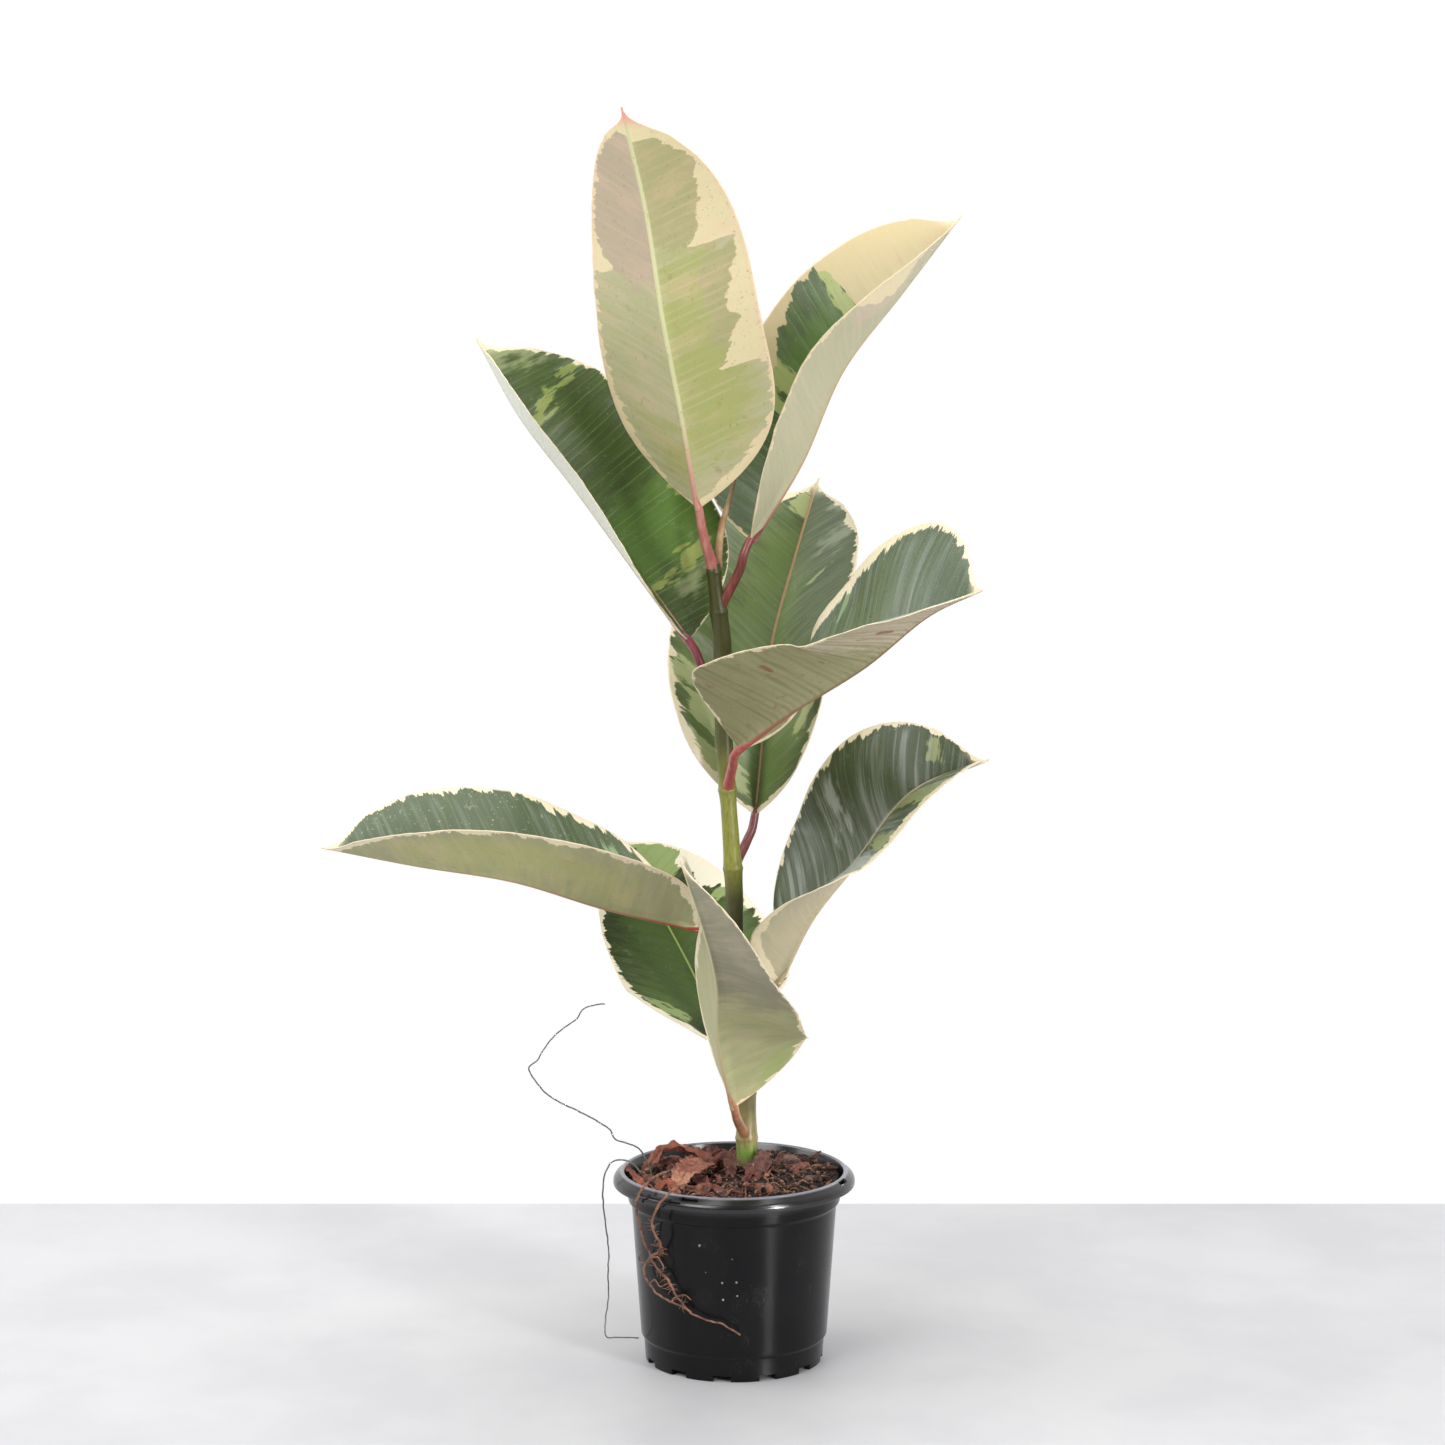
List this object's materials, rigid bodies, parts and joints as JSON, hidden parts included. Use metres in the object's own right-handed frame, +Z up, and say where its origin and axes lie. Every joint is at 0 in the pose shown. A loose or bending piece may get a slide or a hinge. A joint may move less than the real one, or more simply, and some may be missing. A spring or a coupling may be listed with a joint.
{
  "type": "potted variegated rubber plant",
  "caption": "Young rubber plant with large cream-edged leaves on one upright stem, rooted in soil in a round black nursery pot that stands on its foot.",
  "frame": {"origin": "middle of the pot's underside, on the flat pad that stands level with the foot ring", "axes": "+Z up along the pot's axis and the stem; -Y is the front, the side that the picture shows; +X is to the right seen from the front"},
  "size_m": [0.3797, 0.315, 0.719],
  "materials": {
    "pot": "half gloss, injection moulded, a little dusty",
    "soil": "damp crumbly potting mix of peat, fibre and bark",
    "stem": "smooth green bark with ring scars at the joints of the leaves",
    "leaf": "thick smooth leaf, glossy above with cream edges, matt and pale beneath",
    "stalk": "smooth pinkish red leafstalk",
    "root": "dry fibrous root",
    "dried_leaf": "papery dried leaf and bud sheath",
    "bark": "rough bark and twig"
  },
  "bodies": {
    "root": {"pot": "pot", "soil": "soil", "stem": "stem", "bud_sheath": "dried_leaf", "leaf_1": "leaf", "leaf_2": "leaf", "leaf_3": "leaf", "leaf_4": "leaf", "leaf_5": "leaf", "leaf_6": "leaf", "leaf_7": "leaf", "leaf_8": "leaf", "leaf_9": "leaf", "stalk_1": "stalk", "stalk_2": "stalk", "stalk_3": "stalk", "stalk_4": "stalk", "stalk_5": "stalk", "stalk_6": "stalk", "stalk_7": "stalk", "stalk_8": "stalk", "stalk_9": "stalk", "brown_roots": "root", "grey_root_upper": "root", "grey_root_lower": "root", "dried_sheath": "dried_leaf", "rim_scrap": "dried_leaf", "broad_scrap": "dried_leaf", "front_scrap": "dried_leaf", "stem_scrap_left": "dried_leaf", "stem_scrap_right": "dried_leaf", "bark_lump_1": "bark", "bark_lump_2": "bark", "bark_lump_3": "bark", "twig_1": "bark", "twig_2": "bark"}
  },
  "joints": []
}
